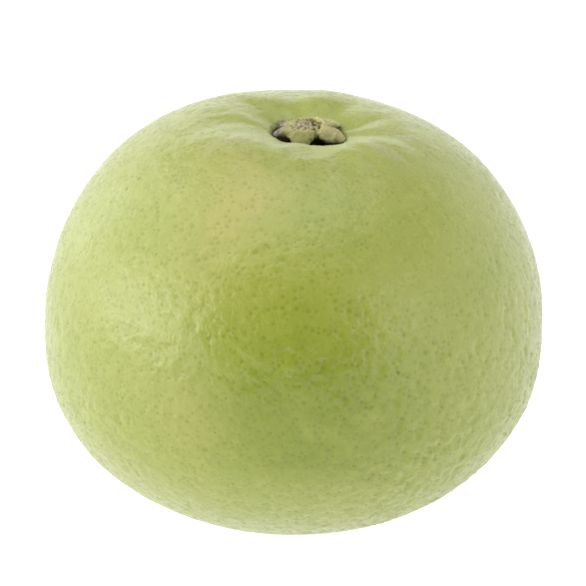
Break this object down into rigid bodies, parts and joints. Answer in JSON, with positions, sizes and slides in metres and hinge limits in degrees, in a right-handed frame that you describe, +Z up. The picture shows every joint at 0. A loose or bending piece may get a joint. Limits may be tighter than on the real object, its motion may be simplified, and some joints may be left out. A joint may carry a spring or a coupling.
{
  "type": "pomelo",
  "caption": "Whole pomelo: a broad, slightly squat citrus fruit with a dimpled pale green rind and a dry lobed stem button sunk in its crown, standing on its flattened blossom end.",
  "frame": {"origin": "on the surface that the fruit rests on, under the middle of its bounding box", "axes": "+Z up through the stem end, +X to the right and -Y to the front of the fruit, the side towards which its stem button is offset"},
  "size_m": [0.1402, 0.1376, 0.1159],
  "materials": {
    "rind": "waxy, leathery citrus peel, pale yellow-green with darker green oil glands",
    "calyx": "dry, corky, olive brown with a pinkish tan cut scar"
  },
  "bodies": {
    "root": {"fruit": "rind", "calyx_button": "calyx"}
  },
  "joints": []
}
